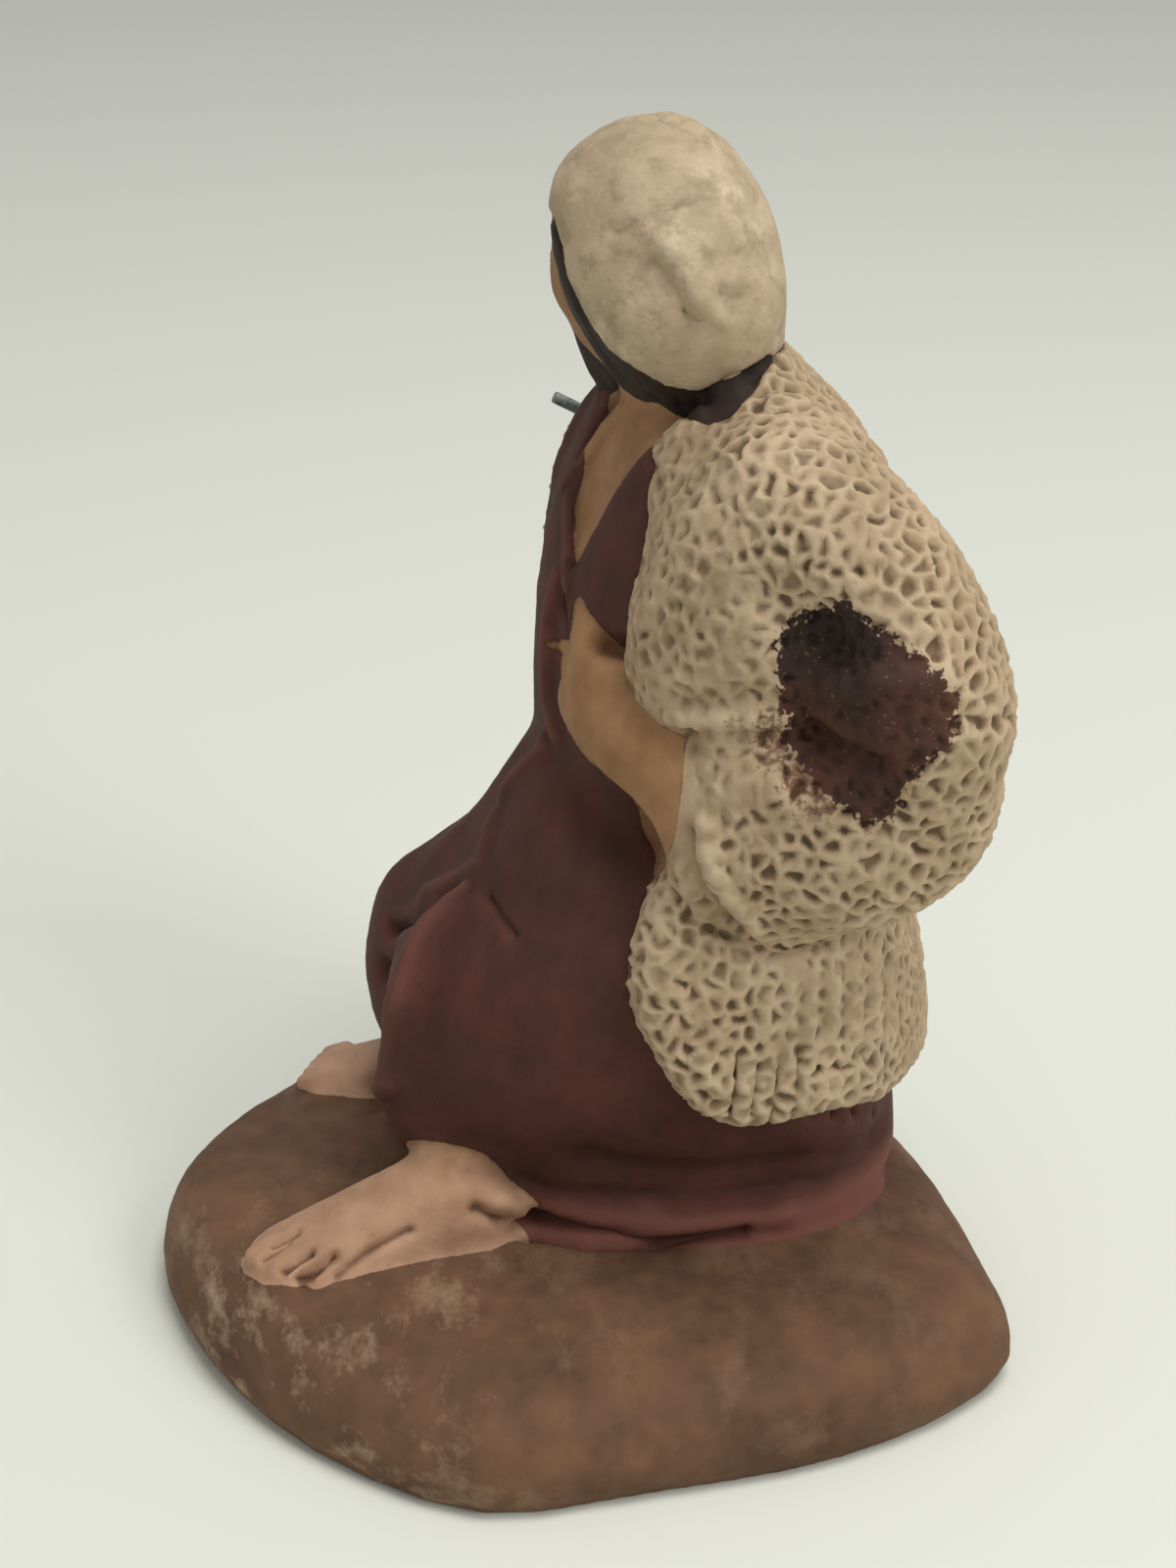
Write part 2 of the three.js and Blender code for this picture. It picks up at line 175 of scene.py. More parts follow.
def cellNoise(spots, size, seed):
    # smooth noise from -1 to 1 with lumps about size across
    at = spots / np.array(size) + seed * 17.31
    low = np.floor(at).astype(np.int64)
    share = at - low
    share = share * share * (3 - 2 * share)
    total = np.zeros(len(spots))
    for corner in range(8):
        step = np.array(((corner >> 2) & 1, (corner >> 1) & 1, corner & 1))
        key = (low + step) @ np.array((73856093, 19349663, 83492791))
        key = (key ^ (key >> 13)) * 1274126177
        value = ((key ^ (key >> 16)) & 0xffff) / 32767.5 - 1
        total += value * np.prod(np.where(step, share, 1 - share), 1)
    return total


def lineDistance(spots, line):
    # the distance to a chain of points
    best = np.full(len(spots), 1e9)
    line = np.array(line, float)
    for start, end in zip(line[:-1], line[1:]):
        way = end - start
        share = np.clip((spots - start) @ way / max(way @ way, 1e-9), 0, 1)
        best = np.minimum(best, np.linalg.norm(spots - start - share[:, None] * way, axis=1))
    return best


def bead(bm, spot, radius, finer=2):
    matrix = Matrix.Translation(inFrame(spot)) @ Matrix.Scale(radius * millimetre, 4)
    bmesh.ops.create_icosphere(bm, subdivisions=finer, radius=1, matrix=matrix)


def roll(bm, line, radii):
    # a roll of clay: beads close together along a chain of points
    line = np.array(line, float)
    for start, end, low, high in zip(line[:-1], line[1:], radii[:-1], radii[1:]):
        count = max(2, int(np.linalg.norm(end - start) / (0.35 * min(low, high))) + 1)
        for step in range(count):
            bead(bm, start + (end - start) * step / count, low + (high - low) * step / count)
    bead(bm, line[-1], radii[-1])


# The figure's own sizes, as in the CAD. They give how far inside each part of the figure a point lies.
skirt = dict(
    reach=[(8, 4.8, -27.5, -11.5, 24.6), (11.5, 3.4, -27.3, -15, 24.4), (15, 4, -28, -16.2, 24),
           (21, 5.8, -29, -16.6, 23.4), (27, 5.8, -29, -15.6, 22.6), (31, 5.2, -28, -12.8, 21.8),
           (35, 4.2, -26.5, -8.8, 20.8), (39, 2.2, -25, -6.2, 18.5), (43, 0, -24, -4, 15),
           (46, -3.5, -20, -0.5, 12)],
    squareness=2.6)
trunk = dict(
    rows=[(36, -11.5, 6, 13.5, 9.6, 6), (44, -12, 4.9, 12.4, 8.5, 12), (50, -12, 5.5, 13, 8.8, 16),
          (56, -12, 6.6, 13.5, 9, 20), (62, -12, 7.8, 13.6, 9, 20), (66, -11.8, 8.4, 12.4, 8.3, 20),
          (69.5, -11.5, 8.4, 9.6, 6.8, 20), (72.4, -11.3, 8.4, 6, 4.6, 20)],
    squareness=2.3, turn=20, spine=(-12, 7.8), coatThickness=1.1, coatHem=43,
    neckline=[(-3.6, 78), (7.2, 78), (6.8, 70), (3.4, 63.5), (0.4, 57.6), (-2.5, 62), (-3.3, 68)],
    coatOpening=[(-13.5, 30), (11, 30), (11.4, 55), (10.8, 62), (7.8, 69.5), (6.4, 78),
                 (-8.4, 78), (-11, 69), (-13.4, 60), (-13.8, 50)])
tail = dict(
    thickness=2.9,
    outline=[(8, 56), (6, 41.5), (4.5, 36.5), (3.6, 33), (4.2, 29), (6, 25.4), (8, 22.6), (11, 21.2),
             (18, 21.2), (23, 20), (30, 20.6), (40, 24), (40, 56)])
head = dict(
    middle=(-11.5, 5.5, 79.9), lean=19, facing=50, cap=(8.4, 7.6, 9.8), hair=(8, 7.3, 9),
    opening=(5.6, 5, 6.6),
    skull=(6.4, 8, 8.6), beard=(4.9, 4.7, 5.2),
    # the cap's edge in the face's own directions: to the rear, and up, from the middle of the head
    capEdge=[(-13, 13), (-13, 5.4), (-6, 5.6), (-2.2, 5.4), (-0.9, 3.8), (-0.8, 1.9), (-0.35, 0.5),
             (0.46, -2.4), (1.46, -5.3), (2.9, -7.1), (4.64, -8), (6.2, -8.1), (13, -8.3), (13, 13)])
level, upright = (0, 0, 1), (0, 1, 0)
# each limb: the way its height is measured, then its stations: x, y, z, half width and half height
limbs = dict(
    leftUpperArm=(upright, [(-4, 9, 69, 2, 2), (-0.5, 12, 67, 5.6, 5.6), (4, 18, 61.4, 6.5, 6.8),
                            (5.8, 22.3, 52.8, 6.4, 6.6), (5.6, 22.8, 46.2, 4.6, 4.6)]),
    leftSleeve=(level, [(4.8, 26.6, 52, 1.6, 2.4), (5, 24.4, 49.6, 4.6, 5.8), (4.8, 21, 46.9, 5.6, 8.3),
                        (4.4, 17, 44.9, 5.9, 8.9), (3.8, 12.8, 44.4, 5.6, 9.1), (3.2, 9.2, 44.7, 5.1, 8.4),
                        (2.5, 6.7, 44.7, 4.2, 4.8), (2.3, 6.1, 44.7, 1.4, 1.6)]),
    leftForearm=(level, [(3, 12, 45.2, 5.2, 7.6), (2.6, 8.6, 46.2, 4.9, 6), (1.9, 6.6, 47.4, 4.4, 4.4),
                         (1, 5, 48.2, 3.8, 4.1), (-1.5, 1.8, 49.4, 3.2, 3.6), (-4.5, -0.4, 50.4, 2.4, 3),
                         (-6.4, -1.2, 51.2, 1, 1.2)]),
    armpit=(upright, [(-4.5, 8, 69.6, 2, 3), (-1, 11, 66, 5.8, 6.8), (0.6, 12.6, 61, 7.6, 9),
                      (0.8, 12.4, 55.6, 6.8, 9.5), (0.2, 12.4, 50.4, 5.8, 8.4), (-1.4, 12, 45, 2.6, 3)]),
    leftThumb=(level, [(-0.4, 3.4, 50.4, 2.8, 2.8), (-2.4, 1.8, 52.4, 2.9, 2.6), (-4.4, 0.2, 54.2, 2.2, 1.9),
                       (-5.8, -0.7, 56, 0.9, 0.9)]),
    rightUpperArm=(upright, [(-19, 9, 69, 2, 2), (-22.5, 8.4, 66.5, 5.4, 5.4), (-27, 9.2, 58, 5.2, 5.4),
                             (-28.4, 7.6, 50, 4.8, 5.2), (-28.4, 5.6, 44.5, 3, 3)]),
    rightForearm=(upright, [(-28, 6.4, 42.5, 2.6, 2.6), (-28, 3.9, 46.5, 4.6, 5), (-28, 3.8, 53, 4, 4),
                            (-27.8, 3, 57, 3, 3.2), (-27.6, 2.5, 60, 2.4, 2.6)]),
    neck=(upright, [(-11.4, 7, 64, 5, 5), (-11.3, 6.2, 70, 4, 3.9), (-11.4, 6, 77, 4, 4)]),
    collar=(level, [(-3.6, 5.5, 68.6, 1.4, 1.2), (-3.8, 9.4, 70.2, 2.6, 2), (-8, 12.2, 71.6, 3, 2.2),
                    (-14.5, 11.8, 71.4, 3, 2.2), (-18.6, 8, 70, 2.4, 1.8), (-19.2, 4.6, 68.8, 1.4, 1.2)]),
    leftFoot=(level, [(1.8, -5, 10, 2.4, 2), (2.2, -9, 11.1, 3.7, 4.6), (2.8, -13, 10.5, 3.9, 4.2),
                      (3.8, -17, 9.6, 4.3, 3.2), (5.2, -21, 8.6, 4.4, 2.1), (6, -24.2, 8.2, 3.4, 1.2),
                      (6.2, -26, 8, 1.4, 0.6)]),
    leftShin=(upright, [(1.4, -8.4, 10, 3, 3.4), (-3, -8, 16, 2.4, 2.6)]),
    rightFoot=(level, [(-18.6, -8, 10, 2.6, 2.2), (-19.4, -14, 9.6, 3.6, 3.2), (-20.2, -18.8, 8.8, 3.9, 2.3),
                       (-20.8, -22.4, 8.2, 3.6, 1.5), (-21.1, -24.6, 8.1, 1.6, 0.7)]))
fist = dict(palm=((-27.8, 2.5, 60.9), (3.1, 4.6, 3), 32), fingers=((-27.6, -0.3, 59), (3, 2.8, 2.5), 20))
# the cuffs: how far to the rear the near one lies, how far it slopes, and how high the far one is
cuff = dict(near=6.5, slope=-0.1, height=49, softUntil=8.8, far=56.5)


def ringInside(across, deep, halfWide, halfDeep, squareness):
    reach = np.hypot(across, deep)
    both = np.abs(across / halfWide) ** squareness + np.abs(deep / halfDeep) ** squareness
    full = both ** (1 / squareness)
    return reach / np.maximum(full, 1e-6) - reach


def skirtInside(spots):
    rows = np.array(skirt["reach"])
    near, far, front, rear = (np.interp(spots[:, 2], rows[:, 0], rows[:, n]) for n in (1, 2, 3, 4))
    inside = ringInside(spots[:, 0] - (near + far) / 2, spots[:, 1] - (front + rear) / 2,
                        (near - far) / 2, (rear - front) / 2, skirt["squareness"])
    return np.minimum(inside, rows[-1, 0] - spots[:, 2])


def trunkInside(spots, grow=0):
    rows = np.array(trunk["rows"])
    x, y, wide, deep, turn = (np.interp(spots[:, 2], rows[:, 0], rows[:, n]) for n in (1, 2, 3, 4, 5))
    c, s = np.cos(np.radians(turn)), np.sin(np.radians(turn))
    dx, dy = spots[:, 0] - x, spots[:, 1] - y
    inside = ringInside(dx * c + dy * s, dy * c - dx * s, wide + grow, deep + grow, trunk["squareness"])
    return np.minimum(inside, rows[-1, 0] + grow - spots[:, 2])


def eggInside(spots, middle, halves, turn=np.identity(3)):
    local = (spots - np.array(middle)) @ np.array(turn)
    full = np.linalg.norm(local / np.array(halves), axis=1)
    reach = np.linalg.norm(local, axis=1)
    return reach / np.maximum(full, 1e-3) - reach


def limbInside(spots, name):
    up, stations = limbs[name]
    stations = np.array(stations, float)
    best = np.full(len(spots), -1e9)
    for start, end in zip(stations[:-1], stations[1:]):
        way = end[:3] - start[:3]
        share = np.clip((spots - start[:3]) @ way / (way @ way), 0, 1)
        offset = spots - start[:3] - share[:, None] * way
        way = way / np.linalg.norm(way)
        side = np.cross(up, way)
        side = side / np.linalg.norm(side)
        rise = np.cross(way, side)
        wide, tall = (start[n] + (end[n] - start[n]) * share for n in (3, 4))
        full = np.sqrt((offset @ side / wide) ** 2 + (offset @ rise / tall) ** 2
                       + (offset @ way / np.minimum(wide, tall)) ** 2)
        reach = np.linalg.norm(offset, axis=1)
        best = np.maximum(best, reach / np.maximum(full, 1e-3) - reach)
    return best


def outlineInside(points, outline):
    # signed distance to a closed flat outline, positive inside
    outline = np.array(outline, float)
    best = np.full(len(points), 1e9)
    inside = np.zeros(len(points), bool)
    for start, end in zip(outline, np.roll(outline, -1, 0)):
        way = end - start
        share = np.clip((points - start) @ way / (way @ way), 0, 1)
        best = np.minimum(best, np.linalg.norm(points - start - share[:, None] * way, axis=1))
        crosses = (start[1] > points[:, 1]) != (end[1] > points[:, 1])
        reach = start[0] + way[0] * (points[:, 1] - start[1]) / (way[1] if way[1] else 1e-9)
        inside ^= crosses & (points[:, 0] < reach)
    return np.where(inside, best, -best)


def axesOf(x, z=0):
    return np.array(Matrix.Rotation(math.radians(x), 3, "X") @ Matrix.Rotation(math.radians(z), 3, "Z"))


leanAxes = axesOf(head["lean"])
faceAxes = axesOf(head["lean"], -head["facing"])


def inFace(x, y, z):
    # x to the figure's left, -y forward and z up, all from the middle of the head
    return faceAxes @ np.array((x, y, z)) + np.array(head["middle"])


def chestPlaces(spots):
    # across to the left, height, and forward of the spine, in the turned chest's own directions
    turn = math.radians(trunk["turn"])
    dx, dy = spots[:, 0] - trunk["spine"][0], spots[:, 1] - trunk["spine"][1]
    across = dx * math.cos(turn) + dy * math.sin(turn)
    forward = dx * math.sin(turn) - dy * math.cos(turn)
    return np.stack([across, spots[:, 2]], 1), forward


# Small forms that are added to the blank, as rolls: a chain of points and the radius at each
small = dict(
    # in the face's own directions
    eyes=[((-2.35, -7.9, 0.1), 1.15), ((2.35, -7.9, 0.1), 1.15)],
    nose=[([(0, -9.3, 1.5), (0, -10.5, -0.6), (0, -11.0, -1.9)], [0.6, 0.8, 0.85]),
          ([(-0.9, -10.2, -2.1), (0.9, -10.2, -2.1)], [0.6, 0.6])],
    brows=[([(side * 3.5, -8.4, 1.5), (side * 2.3, -9.3, 1.95), (side * 1.1, -9.6, 1.9)], [0.22, 0.3, 0.24])
           for side in (-1, 1)],
    eyelids=[([(side * 3.5, -8.4, 0.85), (side * 2.35, -9.1, 1.0), (side * 1.3, -9.1, 0.6)],
              [0.25, 0.32, 0.25])
             for side in (-1, 1)],
    lip=[([(-1.3, -10.0, -4.6), (0, -10.4, -4.5), (1.3, -10.0, -4.6)], [0.35, 0.5, 0.35])],
    moustache=[([(0, -10.3, -3.1), (side * 1.5, -10.0, -3.4), (side * 3.2, -8.8, -4.6)], [0.5, 0.65, 0.4])
               for side in (-1, 1)],
    # in the figure's own directions
    toes=[([(2.8, -22, 9.0), (6.3, -24.8, 8.7)], [1.1, 1.05]),
          ([(4.7, -22.2, 9.4), (7.2, -24.2, 8.8)], [0.9, 0.85]),
          ([(5.2, -21.4, 9.7), (8.1, -23.1, 8.8)], [0.85, 0.8]),
          ([(6.1, -20.1, 10.1), (8.7, -21.8, 8.8)], [0.8, 0.75]),
          ([(7.1, -18.6, 10.3), (9.1, -20.0, 8.8)], [0.75, 0.7])]
         + [([(-18.8 - 1.15 * n, -20.6, 9.3), (-18.9 - 1.2 * n, -23.8 + 0.4 * n, 8.6)],
             [0.95 - 0.06 * n, 0.85 - 0.05 * n]) for n in range(5)],
    leftFingers=[([(-5.4, -0.2, top), (-7, -1.1, top - 0.4), (-8.8 - reach, -1.6, top - 0.9)],
                  [0.7, 0.7, 0.6])
                 for top, reach in ((53, 0), (51.5, 0.7), (50, 0.5), (48.7, -0.3))],
    rightFingers=[([(-25.4, front + 1.6, top), (-26.4, front + 0.2, top), (-28.6, front, top),
                    (-30, front + 1.6, top)],
                   [0.7, 0.75, 0.75, 0.65])
                  for top, front in ((57.9, -1.9), (59.2, -2.3), (60.6, -1.2), (62, -0.1))],
    shoulder=[([(-3, 13.2, 70.6), (-2.6, 15.6, 69.2), (-2, 17.8, 67.4), (-1.5, 19.6, 65)],
               [1.9, 2.4, 2.4, 1.8])],
    woolLumps=26)


def blankFigure():
    bm = bmesh.new()
    bm.from_mesh(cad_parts["figure"].data)
    bmesh.ops.remove_doubles(bm, verts=bm.verts, dist=1e-6)
    thing = remeshed(clayOf("shepherd", meshOf(bm, "shepherd")), carving["firstCell"])
    spots = spotsOf(thing.data)
    soft = relaxed(spots, edgesOf(thing.data), carving["firstRounds"])
    # the underside stays flat and the ground's rim keeps its size
    keep = ramp(spots[:, 2], 1.2, 2.4)[:, None]
    setSpots(thing.data, spots + (soft - spots) * keep)
    return thing


def withSmallForms(thing):
    bm = bmesh.new()
    bm.from_mesh(thing.data)
    for spot, size in small["eyes"]:
        bead(bm, inFace(*spot), size, finer=3)
    for group in ("nose", "brows", "eyelids", "lip", "moustache"):
        for line, radii in small[group]:
            roll(bm, [inFace(*spot) for spot in line], radii)
    for group in ("toes", "leftFingers", "rightFingers", "shoulder"):
        for line, radii in small[group]:
            roll(bm, line, radii)
    ridge = np.array(limbs["collar"][1])
    for share in np.linspace(0.1, 0.9, small["woolLumps"]):
        at = share * (len(ridge) - 1)
        station = ridge[int(at)] + (ridge[int(at) + 1] - ridge[int(at)]) * (at % 1)
        lift = station[4] - 0.2
        bead(bm, station[:3] + (draws.uniform(-0.9, 0.9), draws.uniform(-0.9, 0.9), lift),
             draws.uniform(0.5, 0.8))
    thing.data = meshOf(bm, "shepherd")
    thing = remeshed(thing, carving["cell"])
    spots = spotsOf(thing.data)
    soft = relaxed(spots, edgesOf(thing.data), carving["rounds"])
    setSpots(thing.data, spots + (soft - spots) * ramp(spots[:, 2], 1.2, 2.4)[:, None])
    return thing


# the hair that shows below the cap, as the photograph's pixels outline it
nape = dict(outline=[(590, 300), (607, 330), (625, 352), (644, 366), (680, 388), (718, 398), (752, 384),
                     (780, 361), (786, 372), (768, 400), (748, 424), (723, 434), (690, 424), (665, 406),
                     (640, 388), (622, 362), (604, 335), (590, 308)], deepest=-8)
pixelsEach = 14.35  # photograph pixels to a millimetre, at the middle of the figure


def regionsOf(spots):
    # how far inside each paint's own area a point is
    z = spots[:, 2]
    places, forward = chestPlaces(spots)
    opening = np.minimum(outlineInside(places, trunk["coatOpening"]), forward)
    neckline = np.minimum(outlineInside(places, trunk["neckline"]), forward)
    skirtDepth = skirtInside(spots)
    limb = {name: limbInside(spots, name) for name in limbs}
    nearArm = np.maximum(limb["leftSleeve"], limb["leftForearm"])
    nearCuff = cuff["near"] + (cuff["height"] - z) * cuff["slope"] - spots[:, 1]
    farCuff = z - cuff["far"]
    inHead = (spots - np.array(head["middle"])) @ faceAxes
    capShare = outlineInside(inHead[:, 1:], head["capEdge"])
    opened = -eggInside(spots, inFace(0, -7.4, -1.6), head["opening"], faceAxes)
    covering = np.maximum.reduce([
        np.minimum(eggInside(spots, head["middle"], head["cap"], leanAxes), opened),
        eggInside(spots, inFace(0, 0.2, -2), head["hair"], leanAxes),
        eggInside(spots, inFace(0, -5.8, -5.2), head["beard"], faceAxes)])
    faceHair = np.maximum.reduce([size - lineDistance(spots, [inFace(*spot) for spot in line])
                                  for group, size in (("brows", 0.42), ("moustache", 0.95))
                                  for line, _ in small[group]])
    digits = np.maximum.reduce([max(radii) + 0.05 - lineDistance(spots, line)
                                for group in ("toes", "leftFingers", "rightFingers")
                                for line, radii in small[group]])
    belowCap = np.minimum(outlineInside(toPhoto(spots), nape["outline"]) / pixelsEach,
                          spots[:, 0] - nape["deepest"])
    solids = dict(
        ground=8.5 - z,
        tunic=np.maximum(skirtDepth, np.minimum(trunkInside(spots), -neckline)),
        fleece=np.maximum.reduce([
            np.minimum.reduce([trunkInside(spots, trunk["coatThickness"]), -opening, z - trunk["coatHem"]]),
            np.minimum(outlineInside(spots[:, 1:], tail["outline"]), skirtDepth + tail["thickness"]),
            limb["leftUpperArm"], limb["armpit"], limb["collar"], limb["rightUpperArm"],
            np.minimum(nearArm, -nearCuff), np.minimum(limb["rightForearm"], -farCuff)]),
        skin=np.maximum.reduce([
            np.minimum(nearArm, nearCuff), np.minimum(limb["rightForearm"], farCuff),
            trunkInside(spots, -0.7),
            *(limb[name] for name in ("neck", "leftThumb", "leftFoot", "leftShin", "rightFoot")),
            *(eggInside(spots, middle, halves, axesOf(turn)) for middle, halves, turn in fist.values()),
            eggInside(spots, inFace(0, -1.9, -0.8), head["skull"], faceAxes), digits]),
        cap=np.minimum(covering, capShare),
        hair=np.maximum(np.minimum(covering, -capShare), faceHair))
    for name in ("fleece", "skin", "cap"):
        solids[name] = np.minimum(solids[name], -belowCap)
    solids["hair"] = np.maximum(solids["hair"], belowCap)
    names = list(solids)
    return {name: solids[name] - np.maximum.reduce([solids[other] for other in names if other != name])
            for name in names}


# Tool marks, each a line of photograph pixels, its width and how far it raises the clay, in millimetres
marks = dict(
    cap=[
        ([(630, 236), (660, 222), (703, 208)], 0.5, -0.3), ([(632, 229), (660, 215), (700, 201)], 0.6, 0.15),
        ([(673, 243), (690, 268), (708, 300)], 0.55, 0.32), ([(668, 268), (688, 290), (698, 299)], 1.3, -0.6),
        ([(735, 298), (745, 301), (756, 298)], 0.8, -0.4), ([(712, 306), (713, 309)], 0.8, 0.55),
        ([(722, 291), (716, 304)], 0.45, 0.32), ([(715, 309), (724, 318), (737, 327)], 0.45, 0.3),
        ([(744, 291), (760, 292)], 0.7, 0.38), ([(640, 350), (700, 362), (770, 340)], 3.2, 0.45),
        ([(673, 124), (695, 132), (720, 145)], 0.35, -0.28),
        ([(680, 122), (700, 126), (716, 136)], 0.6, 0.22),
        ([(600, 185), (612, 225)], 1.8, -0.3), ([(700, 318), (712, 322), (728, 318)], 0.4, -0.35),
        ([(775, 232), (786, 262)], 1.4, -0.35), ([(735, 262), (780, 275)], 1.2, -0.3)],
    sleeve=[
        ([(838, 642), (845, 655)], 2.0, -1.3), ([(690, 729), (745, 731), (808, 726)], 0.6, 0.5),
        ([(700, 714), (731, 711), (770, 704)], 0.9, -0.45), ([(850, 702), (900, 694), (960, 690)], 0.8, 0.8),
        ([(830, 742), (853, 757), (895, 777)], 1.0, -1.0), ([(978, 729), (1028, 733)], 0.5, -0.4),
        ([(800, 618), (760, 600), (735, 610)], 2.0, -0.4), ([(704, 744), (710, 771), (717, 799)], 0.7, -0.3),
        ([(745, 806), (770, 800), (792, 810)], 1.6, 0.5), ([(730, 780), (742, 800), (738, 830)], 0.5, -0.3),
        ([(719, 839), (723, 869), (737, 899), (761, 926), (779, 950)], 0.7, 0.6),
        ([(706, 850), (712, 880), (724, 908), (742, 934), (757, 949)], 0.9, -0.7),
        ([(724, 946), (764, 966), (788, 972), (840, 963), (888, 939), (934, 914)], 0.7, -0.6)],
    strap=[
        ([(637, 414), (618, 435), (603, 457), (593, 472), (577, 497)], 0.45, 0.3),
        ([(630, 395), (616, 420), (603, 440), (590, 477)], 0.4, -0.35),
        ([(581, 508), (582, 545), (580, 598)], 0.5, 0.3),
        ([(573, 590), (565, 634), (563, 709), (572, 748)], 0.75, 0.55),
        ([(583, 576), (575, 613), (575, 686)], 0.4, -0.35),
        ([(561, 760), (540, 785), (521, 808)], 0.9, 0.5),
        ([(612, 655), (630, 660)], 0.9, -1.0)],
    tunic=[
        ([(476, 909), (434, 954), (409, 1018), (402, 1050), (400, 1100), (399, 1145)], 1.1, 0.7),
        ([(401, 948), (428, 936), (453, 930), (478, 910)], 0.8, -0.75), ([(455, 918), (473, 909)], 0.9, -0.6),
        ([(501, 916), (527, 954)], 0.5, -0.35), ([(392, 990), (394, 1043), (390, 1105)], 1.2, -1.0),
        ([(507, 839), (495, 884), (440, 914)], 1.0, 0.5), ([(600, 840), (660, 850)], 2.4, -0.7),
        ([(600, 1185), (700, 1200), (800, 1193), (895, 1165)], 2.0, -0.7),
        ([(487, 1236), (512, 1248), (545, 1260), (600, 1270), (680, 1267), (760, 1254)], 0.55, -0.8),
        ([(515, 1226), (545, 1236), (600, 1252), (700, 1248), (800, 1238)], 0.9, 0.45),
        ([(480, 1190), (560, 1215), (700, 1222), (850, 1205)], 0.9, -0.4),
        ([(700, 900), (640, 1010)], 3.0, 0.4),
        ([(460, 950), (440, 1000), (432, 1060)], 1.6, -0.35),
        ([(520, 870), (560, 900), (600, 905)], 2.0, 0.3)],
    foot=[
        ([(279, 1270), (288, 1265), (302, 1259)], 0.36, -0.55),
        ([(290, 1297), (303, 1286), (316, 1278)], 0.36, -0.6),
        ([(307, 1306), (322, 1294), (338, 1283)], 0.5, -1.0),
        ([(268, 1285), (278, 1278), (294, 1269)], 0.3, -0.35),
        ([(345, 1302), (380, 1277), (418, 1257)], 0.4, -0.35)],
    tail=[([(x, 1085 + 9 * math.sin(x)), (x - 7, 1138)], 0.34, -0.42) for x in range(752, 925, 21)]
         + [([(713, 1079), (726, 1103), (752, 1112), (774, 1106)], 0.5, 0.3)])


# how strongly each group of marks is pressed
strength = dict(cap=1.0, sleeve=1.1, strap=1.5, tunic=1.4, foot=1.4, tail=1.3)


def press(spots, normals, line, width, lift):
    low, high = line.min(0) - 3 * width, line.max(0) + 3 * width
    near = np.flatnonzero(np.all((spots > low) & (spots < high), 1))
    apart = lineDistance(spots[near], line)
    spots[near] += normals[near] * (lift * np.exp(-(apart / width) ** 2))[:, None]


def carveMarks(thing, spots, edges):
    normals = relaxed(outwards(thing.data), edges, 4)
    bm = bmesh.new()
    bm.from_mesh(thing.data)
    for vertex, spot in zip(bm.verts, spots):
        vertex.co = spot
    tree = BVHTree.FromBMesh(bm)
    bm.free()
    spots = spots.copy()
    for group, lines in marks.items():
        for pixels, width, lift in lines:
            line = onClay(tree, pixels)
            if len(line) > 1:
                press(spots, normals, line, width, lift * strength[group])
    setSpots(thing.data, spots)
    return spots


# The fleece: small pits with broad soft walls between them, worn low on the chest, and upright ribs
# on the tail
wool = dict(spacing=1.02, stretch=(1, 1, 0.82), wander=0.5, wall=(0.08, 0.92), depth=0.54, lip=0.38,
            rough=0.13, worn=[[(640, 430), (740, 430), (790, 640), (800, 860), (690, 860), (630, 680)],
                  [(680, 826), (712, 838), (738, 895), (778, 940), (755, 955), (715, 915)]],
            ribPeriod=1.6, ribStart=14.3, ribHeight=0.2,
            ribOutline=[(800, 990), (845, 980), (895, 957), (938, 935), (950, 1060), (800, 1070)])


def pitSeeds(spots, order, spacing):
    taken = {}
    seeds = []
    steps = [(i, j, k) for i in (-1, 0, 1) for j in (-1, 0, 1) for k in (-1, 0, 1)]
    for n in order:
        x, y, z = spots[n]
        cell = (int(x // spacing), int(y // spacing), int(z // spacing))
        around = [(cell[0] + i, cell[1] + j, cell[2] + k) for i, j, k in steps]
        if not any((a - x) ** 2 + (b - y) ** 2 + (c - z) ** 2 < spacing * spacing
                   for place in around for a, b, c in taken.get(place, ())):
            taken.setdefault(cell, []).append((x, y, z))
            seeds.append((x, y, z))
    return np.array(seeds)


def woolPits(spots, inside, pixels):
    # how deep in one of the wool's cells each point is, from 0 on the walls to 1
    wander = np.stack([cellNoise(spots, 0.9, seed) for seed in (1, 2, 3)], 1) * wool["wander"]
    warped = (spots + wander) * wool["stretch"]
    woolly = np.flatnonzero(inside > -0.2)
    seeds = pitSeeds(warped, draws.permutation(woolly)[:60000], wool["spacing"])
    tree = KDTree(len(seeds))
    for n, seed in enumerate(seeds):
        tree.insert(seed, n)
    tree.balance()
    depths = draws.uniform(0.35, 1.0, len(seeds))
    pit = np.zeros(len(spots))
    gap = np.zeros(len(woolly))
    for place, n in enumerate(woolly):
        (_, first, near), (_, _, far) = tree.find_n(warped[n], 2)
        gap[place] = far - near
        pit[n] = depths[first]
    pit[woolly] *= ramp(gap, *wool["wall"])
    for outline, share in zip(wool["worn"], (0.45, 0.85)):
        pit *= 1 - share * ramp(outlineInside(pixels, outline), -25, 35)
    return pit


def addValues(mesh, name, values):
    layer = mesh.attributes.new(name, "FLOAT", "POINT")
    layer.data.foreach_set("value", np.ascontiguousarray(values, np.float32))


